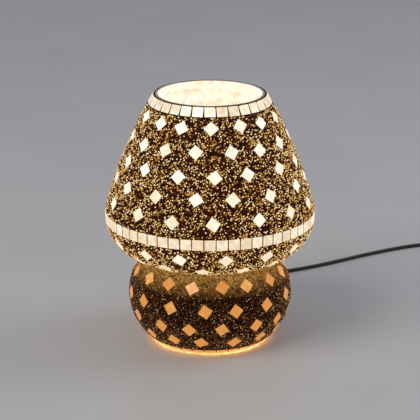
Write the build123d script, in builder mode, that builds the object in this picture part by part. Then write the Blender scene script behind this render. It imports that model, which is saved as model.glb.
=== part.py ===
"""Mosaic glass table lamp: a one-piece mushroom-shaped glass body set with flat glass tiles
in a dark beaded grout, a sprung holder bracket in its neck, an E14 lampholder and bulb, and a
round lead with an in-line rocker switch and a two-pin plug.

Millimetres, +Z up, origin at the centre of the foot on the table, front of the lamp to -Y.
"""

import os
from math import asin, cos, degrees, hypot, pi, radians, sin, sqrt, tan

from build123d import *

os.makedirs("parts", exist_ok=True)

# ---------------------------------------------------------------- driving dimensions
lamp_height = 235.0
rim_radius = 51.8

shade_radius = 97.0
shade_belly_height = 121.0
shade_edge_curve = 39.0
shade_side_curve = 445.0

neck_radius = 51.7
neck_height = 79.2
neck_curve = 2.8

base_radius = 76.0
base_belly_height = 45.0
base_upper_curve = 48.0
base_lower_curve = 54.0
shoulder_curve = 8.6
foot_curve = 4.4
foot_ring_radius = 42.0
foot_hollow = 2.5

coat_thickness = 1.4
glass_wall = 2.0

tile_size = 10.0
tile_thickness = 1.6
tile_gap = 0.15
glue_gap = 0.08
tiles_in_a_row = 15
tiles_round_the_shoulder = 17
joint_width = 0.55
rim_band_tile_height = 9.2
foot_band_tile_height = 7.0
foot_band_height = 3.9
rim_edge_gap = 0.2
band_margin = 0.5

cord_diameter = 3.6
cord_hole_height = 20.0
grommet_hole_radius = 5.0
grommet_flange_radius = 8.0
grommet_flange_thickness = 1.7
strain_relief_length = 22.0
strain_relief_root_radius = 5.6
strain_relief_tip_radius = 2.7

bracket_thickness = 1.5
bracket_gap = 2.6
bracket_arms = 3
bracket_arm_width = 12.0
bracket_reach = 62.0
bracket_hub_radius = 16.0

nipple_radius = 5.0
nipple_bore_radius = 3.8
nipple_length = 13.0
nut_flats = 14.0
nut_height = 4.0
washer_radius = 9.0
washer_thickness = 1.0

holder_radius = 14.0
holder_wall = 1.8
holder_cap_height = 13.5
holder_floor = 3.5
block_radius = 11.0
block_height = 9.0
holder_shell_height = 30.0
sleeve_radius = 7.0
sleeve_wall = 0.6
sleeve_height = 17.0

thread_clearance = 0.15
bulb_cap_wall = 0.3
bulb_cap_height = 15.5
bulb_globe_radius = 22.5
bulb_length = 78.0
bulb_neck_radius = 6.3
bulb_wall = 0.8

switch_length = 58.0
switch_width = 26.0
switch_height = 16.0
switch_wall = 2.0
rocker_length = 20.0
rocker_width = 11.6
rocker_clearance = 0.4
rocker_tilt = 9.0
rocker_pin_radius = 1.2
pin_running_clearance = 0.05

plug_length = 32.0
plug_width = 35.0
plug_height = 13.8
plug_neck = 14.0
plug_pin_radius = 2.0
plug_pin_length = 19.0
plug_pin_spacing = 18.6

# ---------------------------------------------------------------- the lamp's outline
# Every arc of the outline keeps its centre, and a surface further in by "inset" only changes
# the radius, so the beads' face, the glass and the inside of the glass stay parallel.
neck_centre = (neck_radius + neck_curve, neck_height)
edge_centre = (shade_radius - shade_edge_curve, shade_belly_height)
upper_centre = (base_radius - base_upper_curve, base_belly_height)
lower_centre = (base_radius - base_lower_curve, base_belly_height)
glass_foot_curve = foot_curve - coat_thickness

underside_height = shade_belly_height - shade_edge_curve
shoulder_height = 2 * neck_height - underside_height


def shade_side_centre():
    """Centre of the long side curve, which meets the rim and runs tangent into the edge curve."""
    across = rim_radius - edge_centre[0]
    up = lamp_height - edge_centre[1]
    apart = hypot(across, up)
    from_edge = shade_side_curve - shade_edge_curve
    along = (from_edge**2 - shade_side_curve**2 + apart**2) / (2 * apart)
    aside = sqrt(from_edge**2 - along**2)
    return (
        edge_centre[0] + (along * across - aside * up) / apart,
        edge_centre[1] + (along * up + aside * across) / apart,
    )


side_centre = shade_side_centre()
edge_angle = degrees(asin((edge_centre[1] - side_centre[1]) / (shade_side_curve - shade_edge_curve)))

# The shoulder's small curve touches the base's upper curve inside it and is level at its top.
shoulder_rise = shoulder_height - shoulder_curve - base_belly_height
shoulder_angle = degrees(asin(shoulder_rise / (base_upper_curve - shoulder_curve)))
shoulder_centre = (
    upper_centre[0] + (base_upper_curve - shoulder_curve) * cos(radians(shoulder_angle)),
    shoulder_height - shoulder_curve,
)

# The foot's small curve touches the base's lower curve inside it and is level at its bottom.
foot_drop = base_belly_height - glass_foot_curve
foot_angle = degrees(asin(foot_drop / (base_lower_curve - foot_curve)))
foot_centre = (
    lower_centre[0] + (base_lower_curve - foot_curve) * cos(radians(foot_angle)),
    glass_foot_curve,
)


def body_region(inset, mode=Mode.ADD):
    """Adds or cuts the face inside the outline that lies this far in from the beads' face."""
    side = shade_side_curve - inset
    rim_angle = degrees(asin((lamp_height - side_centre[1]) / side))
    rim = side_centre[0] + side * cos(radians(rim_angle))
    floor = foot_centre[1] - foot_curve + inset
    with BuildLine() as outline:
        Line((0, floor), (foot_centre[0], floor))
        CenterArc(foot_centre, foot_curve - inset, -90, 90 - foot_angle)
        CenterArc(lower_centre, base_lower_curve - inset, -foot_angle, foot_angle)
        CenterArc(upper_centre, base_upper_curve - inset, 0, shoulder_angle)
        CenterArc(shoulder_centre, shoulder_curve - inset, shoulder_angle, 90 - shoulder_angle)
        Line((shoulder_centre[0], shoulder_height - inset), (neck_centre[0], shoulder_height - inset))
        CenterArc(neck_centre, neck_curve + inset, 90, 180)
        Line((neck_centre[0], underside_height + inset), (edge_centre[0], underside_height + inset))
        CenterArc(edge_centre, shade_edge_curve - inset, -90, 90 + edge_angle)
        CenterArc(side_centre, side, edge_angle, rim_angle - edge_angle)
        Line((rim, lamp_height), (0, lamp_height))
        Line((0, lamp_height), (0, floor))
    make_face(outline.edges(), mode=mode)


def surface_at(height):
    """Centre, radius and angle of the outline's arc at this height."""
    side_start = edge_centre[1] + shade_edge_curve * sin(radians(edge_angle))
    if height > side_start:
        centre, radius = side_centre, shade_side_curve
    elif height > neck_height:
        centre, radius = edge_centre, shade_edge_curve
    elif height > base_belly_height:
        centre, radius = upper_centre, base_upper_curve
    else:
        centre, radius = lower_centre, base_lower_curve
    return centre, radius, asin((height - centre[1]) / radius)


def seat(height, azimuth, inset):
    """Plane on the surface at this height and azimuth, which is 0 at the front and grows to +X."""
    centre, radius, angle = surface_at(height)
    out = centre[0] + (radius - inset) * cos(angle)
    up = centre[1] + (radius - inset) * sin(angle)
    turn = radians(azimuth)
    return Plane(
        origin=(out * sin(turn), -out * cos(turn), up),
        x_dir=(cos(turn), sin(turn), 0),
        z_dir=(cos(angle) * sin(turn), -cos(angle) * cos(turn), sin(angle)),
    )


def ring_radius(height):
    """Radius of the glass at this height."""
    centre, radius, angle = surface_at(height)
    return centre[0] + (radius - coat_thickness) * cos(angle)


glass_seat = coat_thickness - glue_gap


def band_seats(height, count):
    """Places for a band of upright tiles, side by side."""
    return [seat(height, 360 / count * index, glass_seat).location for index in range(count)]


hole_seat = seat(cord_hole_height, 180, coat_thickness)


def row_seats(height, start, count, row):
    """Places for a row of tiles set on point. Each is laid by hand, so none is quite true.

    A tile that would sit where the cord's grommet is gets left out.
    """
    seats = []
    for index in range(count):
        drift = 1.4 * sin(2.1 * index + 1.3 * row)
        lift = 0.7 * sin(1.7 * index + 2.9 * row)
        tilt = 45 + 11 * sin(2.6 * index + 1.9 * row)
        azimuth = start + drift + index * 360 / count
        place = seat(height + lift, azimuth, glass_seat)
        if (place.origin - hole_seat.origin).length > grommet_flange_radius + 0.8 * tile_size:
            seats.append(place.location * Location((0, 0, 0), (0, 0, tilt)))
    return seats


rim_lean = surface_at(lamp_height)[2]
rim_band_height = (
    lamp_height
    - rim_edge_gap
    - rim_band_tile_height / 2 * cos(rim_lean)
    - (tile_thickness - glass_seat) * sin(rim_lean)
)
shade_band_height = shade_belly_height - 0.9


def band_limits(height, tall):
    """Lowest and highest point of the grout that holds a band of tiles."""
    angle = surface_at(height)[2]
    middle = height - glass_seat * sin(angle)
    half = (tall / 2 + band_margin) * cos(angle)
    slant = coat_thickness * sin(angle)
    return middle - half + min(slant, 0), middle + half + max(slant, 0)


def band_count(height):
    """How many tiles go round the glass at this height, each with its joint."""
    return int(2 * pi * ring_radius(height) / (tile_size + joint_width))


bands = {
    "rim_tiles": (rim_band_height, rim_band_tile_height),
    "shade_band_tiles": (shade_band_height, tile_size),
    "foot_tiles": (foot_band_height, foot_band_tile_height),
}
# Height, first azimuth and count of each row of tiles on point.
rows = {
    "shade_diamonds_row_1": (217.5, 1.0, tiles_in_a_row),
    "shade_diamonds_row_2": (197.3, 14.5, tiles_in_a_row),
    "shade_diamonds_row_3": (177.6, 2.5, tiles_in_a_row),
    "shade_diamonds_row_4": (158.3, 14.5, tiles_in_a_row),
    "shade_diamonds_row_5": (138.8, 3.0, tiles_in_a_row),
    "under_diamonds_row_1": (103.6, 8.5, tiles_in_a_row),
    "under_diamonds_row_2": (90.6, 20.0, tiles_in_a_row),
    "base_diamonds_row_1": (69.8, 9.0, tiles_round_the_shoulder),
    "base_diamonds_row_2": (49.5, 19.5, tiles_in_a_row),
    "base_diamonds_row_3": (31.0, 9.5, tiles_in_a_row),
    "base_diamonds_row_4": (16.5, 18.5, tiles_in_a_row),
}

band_places = {name: band_seats(height, band_count(height)) for name, (height, tall) in bands.items()}
row_places = {
    name: row_seats(height, start, count, row)
    for row, (name, (height, start, count)) in enumerate(rows.items())
}
lift_from_seat = (Align.CENTER, Align.CENTER, Align.MIN)

# ---------------------------------------------------------------- glass body
grommet_depth = glass_wall + grommet_flange_thickness + 0.8

# It is blown in one piece, and is kept as three nodes that meet where the waist is narrowest
# and round the belly of the base.
with BuildPart() as glass_body:
    with BuildSketch(Plane.XZ) as glass_section:
        body_region(coat_thickness)
    revolve(axis=Axis.Z)
    with BuildSketch(Plane.XZ) as hollow_section:
        body_region(coat_thickness + glass_wall)
    revolve(axis=Axis.Z, mode=Mode.SUBTRACT)
    with BuildSketch(Plane.XZ) as raised_floor:
        with BuildLine():
            RadiusArc((0, glass_wall + foot_hollow), (foot_ring_radius, glass_wall), 350)
            Line((foot_ring_radius, glass_wall), (0, glass_wall))
            Line((0, glass_wall), (0, glass_wall + foot_hollow))
        make_face()
    revolve(axis=Axis.Z)
    with BuildSketch(Plane.XZ) as foot_dish:
        with BuildLine():
            RadiusArc((0, foot_hollow), (foot_ring_radius, 0), 350)
            Line((foot_ring_radius, 0), (0, 0))
            Line((0, 0), (0, foot_hollow))
        make_face()
    revolve(axis=Axis.Z, mode=Mode.SUBTRACT)
    with Locations(hole_seat.location):
        Cylinder(grommet_hole_radius, 4 * glass_wall, mode=Mode.SUBTRACT)

waist = Plane.XY.offset(neck_height)
belly = Plane.XY.offset(base_belly_height)
glass_cuts = {
    "glass_shade": [(waist, Keep.TOP)],
    "glass_base_upper": [(waist, Keep.BOTTOM), (belly, Keep.TOP)],
    "glass_base_lower": [(belly, Keep.BOTTOM)],
}
for name, cuts in glass_cuts.items():
    with BuildPart() as glass_piece:
        add(glass_body.part)
        for plane, side in cuts:
            split(bisect_by=plane, keep=side)
    glass_piece.part.label = name
    export_step(glass_piece.part, f"parts/{name}.step")

# ---------------------------------------------------------------- beaded coats and band grout
rim_band_low, _ = band_limits(rim_band_height, rim_band_tile_height)
shade_band_low, shade_band_high = band_limits(shade_band_height, tile_size)
foot_band_low, foot_band_high = band_limits(foot_band_height, foot_band_tile_height)

# Lowest and highest point of each coat, and what is set in it.
coats = {
    "rim_grout": (rim_band_low, lamp_height, ["rim_tiles"]),
    "shade_coat_upper": (
        shade_band_high,
        rim_band_low,
        [f"shade_diamonds_row_{row}" for row in range(1, 6)],
    ),
    "shade_band_grout": (shade_band_low, shade_band_high, ["shade_band_tiles"]),
    "shade_coat_lower": (neck_height, shade_band_low, ["under_diamonds_row_1", "under_diamonds_row_2"]),
    "base_coat": (foot_band_high, neck_height, [f"base_diamonds_row_{row}" for row in range(1, 5)]),
    "foot_grout": (foot_band_low, foot_band_high, ["foot_tiles"]),
}
beyond = 4 * shade_radius

for name, (low, high, set_in) in coats.items():
    with BuildPart() as coat:
        with BuildSketch(Plane.XZ) as coat_section:
            body_region(0)
            with Locations((0, (low + high) / 2)):
                Rectangle(beyond, high - low, mode=Mode.INTERSECT)
            body_region(coat_thickness, mode=Mode.SUBTRACT)
        revolve(axis=Axis.Z)
        for tiles in set_in:
            if tiles in bands:
                places, tall = band_places[tiles], bands[tiles][1]
            else:
                places, tall = row_places[tiles], tile_size
            with Locations(*places):
                Box(
                    tile_size + 2 * tile_gap,
                    tall + 2 * tile_gap,
                    4 * tile_thickness,
                    mode=Mode.SUBTRACT,
                )
        if name == "base_coat":
            with Locations(hole_seat.location):
                Cylinder(grommet_flange_radius + tile_gap, 8 * coat_thickness, mode=Mode.SUBTRACT)
    coat.part.label = name
    export_step(coat.part, f"parts/{name}.step")

# ---------------------------------------------------------------- tiles
for name, (height, tall) in bands.items():
    with BuildPart() as band:
        with Locations(*band_places[name]):
            Box(tile_size, tall, tile_thickness, align=lift_from_seat)
    band.part.label = name
    export_step(band.part, f"parts/{name}.step")

for name, places in row_places.items():
    with BuildPart() as tile_row:
        with Locations(*places):
            Box(tile_size, tile_size, tile_thickness, align=lift_from_seat)
    tile_row.part.label = name
    export_step(tile_row.part, f"parts/{name}.step")

# ---------------------------------------------------------------- holder bracket in the neck
bracket_height = underside_height + coat_thickness + glass_wall + bracket_gap
bracket_top = bracket_height + bracket_thickness
foot_pad_reach = (neck_centre[0] + 0.5, bracket_reach)
foot_pad_middle = sum(foot_pad_reach) / 2
foot_pad_length = foot_pad_reach[1] - foot_pad_reach[0]
stud_radius = 2.0
arm_turns = [360 / bracket_arms * arm + 90 for arm in range(bracket_arms)]
pad_places = [
    Plane.XY.offset(bracket_height).location
    * Location((0, 0, 0), (0, 0, turn))
    * Location((foot_pad_middle, 0, 0))
    for turn in arm_turns
]

with BuildPart() as holder_bracket:
    with BuildSketch(Plane.XY.offset(bracket_height)):
        Circle(bracket_hub_radius)
        for turn in arm_turns:
            with Locations(Location((0, 0, 0), (0, 0, turn))):
                Rectangle(bracket_reach, bracket_arm_width, align=(Align.MIN, Align.CENTER))
        Circle(nipple_radius + 0.1, mode=Mode.SUBTRACT)
    extrude(amount=bracket_thickness)
    fillet(holder_bracket.edges().filter_by(Axis.Z).group_by(SortBy.DISTANCE)[-1], 3)
    with Locations(*pad_places):
        Cylinder(stud_radius, 4 * bracket_thickness, mode=Mode.SUBTRACT)
holder_bracket.part.label = "holder_bracket"
export_step(holder_bracket.part, "parts/holder_bracket.step")

with BuildPart() as inner_space:
    with BuildSketch(Plane.XZ):
        body_region(coat_thickness + glass_wall)
    revolve(axis=Axis.Z)

with BuildPart() as bracket_feet:
    with Locations(*pad_places):
        Box(foot_pad_length, bracket_arm_width - 2, 2 * bracket_gap, align=(Align.CENTER, Align.CENTER, Align.MAX))
    add(inner_space.part, mode=Mode.INTERSECT)
    with Locations(*pad_places):
        Cylinder(stud_radius, bracket_thickness, align=lift_from_seat)
    with Locations(*[place * Location((0, 0, bracket_thickness)) for place in pad_places]):
        Cone(stud_radius + 1.4, stud_radius - 0.4, 1.6, align=lift_from_seat)
bracket_feet.part.label = "bracket_feet"
export_step(bracket_feet.part, "parts/bracket_feet.step")

# ---------------------------------------------------------------- threaded nipple, nut and washer
washer_top = bracket_top + washer_thickness
nipple_bottom = bracket_height - nut_height - 3.0

with BuildPart() as threaded_nipple:
    with BuildSketch(Plane.XY.offset(nipple_bottom)):
        Circle(nipple_radius)
        Circle(nipple_bore_radius, mode=Mode.SUBTRACT)
    extrude(amount=nipple_length)
    chamfer(threaded_nipple.edges().filter_by(GeomType.CIRCLE).sort_by(SortBy.RADIUS)[-2:], 0.5)
threaded_nipple.part.label = "threaded_nipple"
export_step(threaded_nipple.part, "parts/threaded_nipple.step")

with BuildPart() as nipple_nut:
    with BuildSketch(Plane.XY.offset(bracket_height - nut_height)):
        RegularPolygon(nut_flats / 2, 6, major_radius=False)
        Circle(nipple_radius, mode=Mode.SUBTRACT)
    extrude(amount=nut_height)
nipple_nut.part.label = "nipple_nut"
export_step(nipple_nut.part, "parts/nipple_nut.step")

with BuildPart() as holder_washer:
    with BuildSketch(Plane.XY.offset(bracket_top)):
        Circle(washer_radius)
        Circle(nipple_radius + 0.1, mode=Mode.SUBTRACT)
    extrude(amount=washer_thickness)
holder_washer.part.label = "holder_washer"
export_step(holder_washer.part, "parts/holder_washer.step")

# ---------------------------------------------------------------- lampholder
ledge_height = washer_top + holder_cap_height - 6.0
cap_top = washer_top + holder_cap_height
block_top = ledge_height + block_height
cap_lip_radius = holder_radius - holder_wall + 0.5
shell_top = ledge_height + holder_shell_height
collar_radius = sleeve_radius + sleeve_wall + 1.4

with BuildPart() as holder_cap:
    with BuildSketch(Plane.XZ):
        with BuildLine():
            Polyline(
                (nipple_radius, washer_top),
                (holder_radius - 3, washer_top),
                (holder_radius, washer_top + 4),
                (holder_radius, ledge_height),
                (cap_lip_radius, ledge_height),
                (cap_lip_radius, cap_top),
                (block_radius, cap_top),
                (block_radius, ledge_height),
                (block_radius - 1.2, ledge_height),
                (block_radius - 1.2, washer_top + holder_floor),
                (nipple_radius, washer_top + holder_floor),
                close=True,
            )
        make_face()
    revolve(axis=Axis.Z)
holder_cap.part.label = "holder_cap"
export_step(holder_cap.part, "parts/holder_cap.step")

with BuildPart() as holder_shell:
    with BuildSketch(Plane.XZ):
        with BuildLine():
            Polyline(
                (cap_lip_radius, ledge_height),
                (holder_radius, ledge_height),
                (holder_radius, shell_top - 8),
                (holder_radius - 2.5, shell_top),
                (collar_radius, shell_top),
                (collar_radius, block_top),
                (cap_lip_radius, block_top),
                close=True,
            )
        make_face()
    revolve(axis=Axis.Z)
holder_shell.part.label = "holder_shell"
export_step(holder_shell.part, "parts/holder_shell.step")

terminal_places = [(-6.2, 0), (6.2, 0)]

with BuildPart() as terminal_block:
    with BuildSketch(Plane.XY.offset(ledge_height)):
        Circle(block_radius)
        with Locations(*terminal_places):
            Circle(1.5, mode=Mode.SUBTRACT)
    extrude(amount=block_height)
terminal_block.part.label = "terminal_block"
export_step(terminal_block.part, "parts/terminal_block.step")

with BuildPart() as terminal_screws:
    with BuildSketch(Plane.XY.offset(ledge_height - 1.6)):
        with Locations(*terminal_places):
            Circle(2.5)
    extrude(amount=1.6)
    with BuildSketch(Plane.XY.offset(ledge_height - 1.6)):
        with Locations(*terminal_places):
            Rectangle(6, 0.7)
    extrude(amount=0.8, mode=Mode.SUBTRACT)
    with BuildSketch(Plane.XY.offset(ledge_height)):
        with Locations(*terminal_places):
            Circle(1.5)
    extrude(amount=block_height - 1.5)
terminal_screws.part.label = "terminal_screws"
export_step(terminal_screws.part, "parts/terminal_screws.step")

with BuildPart() as screw_sleeve:
    with BuildSketch(Plane.XZ):
        with BuildLine():
            Polyline(
                (4.5, block_top),
                (sleeve_radius + sleeve_wall, block_top),
                (sleeve_radius + sleeve_wall, block_top + sleeve_height),
                (sleeve_radius, block_top + sleeve_height),
                (sleeve_radius, block_top + sleeve_wall),
                (4.5, block_top + sleeve_wall),
                close=True,
            )
        make_face()
    revolve(axis=Axis.Z)
screw_sleeve.part.label = "screw_sleeve"
export_step(screw_sleeve.part, "parts/screw_sleeve.step")

contact_rise = 2.0
contact_top = block_top + contact_rise
contact_strip = 0.4

with BuildPart() as centre_contact:
    with BuildSketch(Plane.XZ.offset(-1.75)):
        with BuildLine() as contact_line:
            Polyline(
                (-3.8, block_top + contact_strip / 2),
                (-2.2, block_top + contact_strip / 2),
                (0.2, contact_top - contact_strip / 2),
                (2.6, contact_top - contact_strip / 2),
            )
        trace(lines=contact_line.edges(), line_width=contact_strip)
    extrude(amount=3.5)
centre_contact.part.label = "centre_contact"
export_step(centre_contact.part, "parts/centre_contact.step")

# ---------------------------------------------------------------- bulb
tip_bottom = contact_top + 0.1
tip_height = 0.9
cap_bottom = tip_bottom + 1.2
bulb_cap_top = cap_bottom + bulb_cap_height
bulb_cap_radius = sleeve_radius - thread_clearance
globe_height = tip_bottom + bulb_length - bulb_globe_radius
tip_radius = 2.3

with BuildPart() as bulb_tip:
    with BuildSketch(Plane.XZ):
        with BuildLine():
            ThreePointArc((0, tip_bottom), (tip_radius * 0.7, tip_bottom + 0.2), (tip_radius, tip_bottom + tip_height))
            Line((tip_radius, tip_bottom + tip_height), (0, tip_bottom + tip_height))
            Line((0, tip_bottom + tip_height), (0, tip_bottom))
        make_face()
    revolve(axis=Axis.Z)
bulb_tip.part.label = "bulb_tip"
export_step(bulb_tip.part, "parts/bulb_tip.step")

with BuildPart() as bulb_insulator:
    with BuildSketch(Plane.XZ):
        with BuildLine():
            Polyline(
                (0, tip_bottom + tip_height),
                (tip_radius + 0.6, tip_bottom + tip_height),
                (bulb_cap_radius - bulb_cap_wall, cap_bottom + 1.4),
                (bulb_cap_radius - bulb_cap_wall, cap_bottom + 3),
                (0, cap_bottom + 3),
                close=True,
            )
        make_face()
    revolve(axis=Axis.Z)
bulb_insulator.part.label = "bulb_insulator"
export_step(bulb_insulator.part, "parts/bulb_insulator.step")

with BuildPart() as bulb_cap:
    with BuildSketch(Plane.XY.offset(cap_bottom + 1.4)):
        Circle(bulb_cap_radius)
        Circle(bulb_cap_radius - bulb_cap_wall, mode=Mode.SUBTRACT)
    extrude(amount=bulb_cap_height)
bulb_cap.part.label = "bulb_cap"
export_step(bulb_cap.part, "parts/bulb_cap.step")

envelope_bottom = bulb_cap_top - 3.0
neck_top = bulb_cap_top + 4.0


def envelope_region(inset, mode=Mode.ADD):
    """Adds or cuts the bulb envelope's section, this far in from its outside."""
    globe = bulb_globe_radius - inset
    throat = bulb_neck_radius - inset
    shoulder = globe_height - sqrt(globe**2 - (throat + 8) ** 2)
    with BuildLine() as outline:
        Line((0, envelope_bottom), (throat, envelope_bottom))
        Line((throat, envelope_bottom), (throat, neck_top))
        Spline((throat, neck_top), (throat + 8, shoulder), tangents=((0, 1), (globe_height - shoulder, throat + 8)))
        ThreePointArc((throat + 8, shoulder), (globe, globe_height), (0, globe_height + globe))
        Line((0, globe_height + globe), (0, envelope_bottom))
    make_face(outline.edges(), mode=mode)


with BuildPart() as bulb_envelope:
    with BuildSketch(Plane.XZ):
        envelope_region(0)
    revolve(axis=Axis.Z)
    with BuildSketch(Plane.XZ):
        envelope_region(bulb_wall)
    revolve(axis=Axis.Z, mode=Mode.SUBTRACT)
bulb_envelope.part.label = "bulb_envelope"
export_step(bulb_envelope.part, "parts/bulb_envelope.step")

stem_top = globe_height - 12.0
with BuildPart() as bulb_stem:
    with BuildSketch(Plane.XZ):
        with BuildLine():
            Polyline(
                (0, envelope_bottom),
                (bulb_neck_radius - bulb_wall, envelope_bottom),
                (2.2, envelope_bottom + 9),
                (1.6, stem_top - 1),
                (2.2, stem_top),
                (0, stem_top),
                close=True,
            )
        make_face()
    revolve(axis=Axis.Z)
bulb_stem.part.label = "bulb_stem"
export_step(bulb_stem.part, "parts/bulb_stem.step")

filament_span = 9.0
wire_radius = 0.35
with BuildPart() as bulb_filament:
    with BuildLine() as filament_line:
        FilletPolyline(
            (-1.0, 0, stem_top),
            (-1.0, 0, stem_top + 2),
            (-filament_span, 0, stem_top + 9),
            (-filament_span / 2, 3, stem_top + 12),
            (0, 0, stem_top + 10),
            (filament_span / 2, 3, stem_top + 12),
            (filament_span, 0, stem_top + 9),
            (1.0, 0, stem_top + 2),
            (1.0, 0, stem_top),
            radius=1.0,
        )
    with BuildSketch(Plane(filament_line.line @ 0, z_dir=filament_line.line % 0)):
        Circle(wire_radius)
    sweep()
bulb_filament.part.label = "bulb_filament"
export_step(bulb_filament.part, "parts/bulb_filament.step")

# ---------------------------------------------------------------- cord exit
cord_radius = cord_diameter / 2
exit_plane = Plane(origin=hole_seat.origin, z_dir=hole_seat.z_dir)
exit_start = grommet_flange_thickness
exit_end = exit_start + strain_relief_length

with BuildPart() as cord_grommet:
    with Locations((exit_plane.offset(-grommet_depth)).location):
        Cylinder(grommet_flange_radius, grommet_depth + exit_start, align=lift_from_seat)
        Cylinder(cord_radius, 4 * grommet_depth, mode=Mode.SUBTRACT)
    add(glass_body.part, mode=Mode.SUBTRACT)
cord_grommet.part.label = "cord_grommet"
export_step(cord_grommet.part, "parts/cord_grommet.step")

relief_grooves = 4
groove_pitch = strain_relief_length / (relief_grooves + 1.5)
with BuildPart() as strain_relief:
    with Locations(exit_plane.offset(exit_start).location):
        Cone(strain_relief_root_radius, strain_relief_tip_radius, strain_relief_length, align=lift_from_seat)
        Cylinder(cord_radius, 4 * strain_relief_length, mode=Mode.SUBTRACT)
    for groove in range(relief_grooves):
        with Locations(exit_plane.offset(exit_start + groove_pitch * (groove + 1)).location):
            Box(3 * strain_relief_root_radius, 1.8, 1.6, mode=Mode.SUBTRACT)
strain_relief.part.label = "strain_relief"
export_step(strain_relief.part, "parts/strain_relief.step")

exit_point = exit_plane.origin + exit_plane.z_dir * exit_end
inside_turn = exit_plane.origin - exit_plane.z_dir * 50
cable_end = washer_top + holder_floor + 0.5


def cord_tube(points, radii):
    """Round tube along straight runs that are joined by tangent arcs, one radius for each corner."""
    with BuildLine() as path:
        FilletPolyline(*points, radius=radii)
    with BuildPart() as tube:
        with BuildSketch(Plane(path.line @ 0, z_dir=path.line % 0)):
            Circle(cord_radius)
        sweep(path=path.line)
    length = path.wires()[0].length
    share = tube.part.volume / (pi * cord_radius**2 * length)
    print(f"tube {length:.1f} long, volume share {share:.4f}")
    return tube.part


def corner_radii(points, share=0.45):
    """The largest arc that each corner's shorter run allows."""
    places = [Vector(*point) for point in points]
    radii = []
    for before, here, after in zip(places, places[1:], places[2:]):
        turn = (here - before).get_angle(after - here)
        shorter = min((here - before).length, (after - here).length)
        radii.append(share * shorter / tan(radians(turn) / 2))
    print("radii", [round(radius, 1) for radius in radii])
    return radii


inner_route = [
    (0, 0, cable_end),
    (0, 0, inside_turn.Z + 20),
    tuple(inside_turn),
    tuple(exit_point),
]
inner_cord = cord_tube(inner_route, corner_radii(inner_route))
inner_cord.label = "inner_cord"
export_step(inner_cord, "parts/inner_cord.step")

core_radius = 0.6
core_rise = 1.2
with BuildPart() as core_wires:
    for side in (-1, 1):
        with BuildLine() as core_line:
            FilletPolyline(
                (1.1 * side, 0, cable_end),
                (1.1 * side, 0, cable_end + core_rise),
                (4.6 * side, 3.2, ledge_height - 1.6),
                (4.6 * side, 3.2, ledge_height),
                radius=0.9,
            )
        with BuildSketch(Plane(core_line.line @ 0, z_dir=core_line.line % 0)):
            Circle(core_radius)
        sweep(path=core_line.line)
core_wires.part.label = "core_wires"
export_step(core_wires.part, "parts/core_wires.step")

# ---------------------------------------------------------------- in-line switch
switch_place = (291.0, 174.0)
switch_axis = switch_height / 2
switch_plane = Plane(origin=(switch_place[0], switch_place[1], 0))
switch_end_high = switch_place[1] + switch_length / 2
switch_end_low = switch_place[1] - switch_length / 2
cord_grip = 6.0
rocker_axis = switch_height - 5.5
window_length = rocker_length + 2 * rocker_clearance
window_width = rocker_width + 2 * rocker_clearance
screw_places = [(-8.5, -20.0), (8.5, 20.0)]
screw_radius = 1.3


def switch_case(bottom, top):
    """Adds one half of the case, solid, with rounded upright edges."""
    with BuildSketch(switch_plane.offset(bottom)) as case:
        RectangleRounded(switch_width, switch_length, 8)
    extrude(case.sketch, amount=top - bottom)


with BuildPart() as switch_bottom:
    switch_case(0, switch_axis)
    fillet(switch_bottom.edges().group_by(Axis.Z)[0], 1.5)
    with BuildSketch(switch_plane.offset(switch_wall)):
        RectangleRounded(switch_width - 2 * switch_wall, switch_length - 2 * cord_grip, 4)
    extrude(amount=switch_height, mode=Mode.SUBTRACT)
    with BuildSketch(switch_plane.offset(switch_wall)):
        with Locations(*screw_places):
            Circle(screw_radius + 1.7)
    extrude(amount=switch_axis - switch_wall)
    with BuildSketch(switch_plane):
        with Locations(*screw_places):
            Circle(screw_radius)
    extrude(amount=switch_height, mode=Mode.SUBTRACT)
    with Locations(Location((switch_place[0], switch_place[1], switch_axis), (90, 0, 0))):
        Cylinder(cord_radius, 2 * switch_length, mode=Mode.SUBTRACT)
switch_bottom.part.label = "switch_bottom"
export_step(switch_bottom.part, "parts/switch_bottom.step")

with BuildPart() as switch_top:
    switch_case(switch_axis, switch_height)
    fillet(switch_top.edges().group_by(Axis.Z)[-1], 2.5)
    with BuildSketch(switch_plane.offset(switch_axis)):
        RectangleRounded(switch_width - 2 * switch_wall, switch_length - 2 * cord_grip, 4)
    extrude(amount=switch_height - switch_axis - switch_wall, mode=Mode.SUBTRACT)
    with BuildSketch(switch_plane.offset(switch_axis)):
        for side in (-1, 1):
            with Locations((side * (window_width / 2 + 1.2), 0)):
                Rectangle(2.4, 8)
        with Locations(*screw_places):
            Circle(screw_radius + 1.7)
    extrude(amount=switch_height - switch_axis - switch_wall)
    with BuildSketch(switch_plane.offset(switch_axis)):
        Rectangle(window_width, window_length)
    extrude(amount=switch_height, mode=Mode.SUBTRACT)
    with BuildSketch(switch_plane.offset(switch_axis)):
        with Locations(*screw_places):
            Circle(screw_radius)
    extrude(amount=5, mode=Mode.SUBTRACT)
    with Locations(Location((switch_place[0], switch_place[1], switch_axis), (90, 0, 0))):
        Cylinder(cord_radius, 2 * switch_length, mode=Mode.SUBTRACT)
    with Locations(Location((switch_place[0], switch_place[1], rocker_axis), (0, 90, 0))):
        Cylinder(rocker_pin_radius, window_width + 4.4, mode=Mode.SUBTRACT)
switch_top.part.label = "switch_top"
export_step(switch_top.part, "parts/switch_top.step")

with BuildPart() as rocker_pin:
    with Locations(Location((switch_place[0], switch_place[1], rocker_axis), (0, 90, 0))):
        Cylinder(rocker_pin_radius, window_width + 4.4)
rocker_pin.part.label = "rocker_pin"
export_step(rocker_pin.part, "parts/rocker_pin.step")

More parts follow.
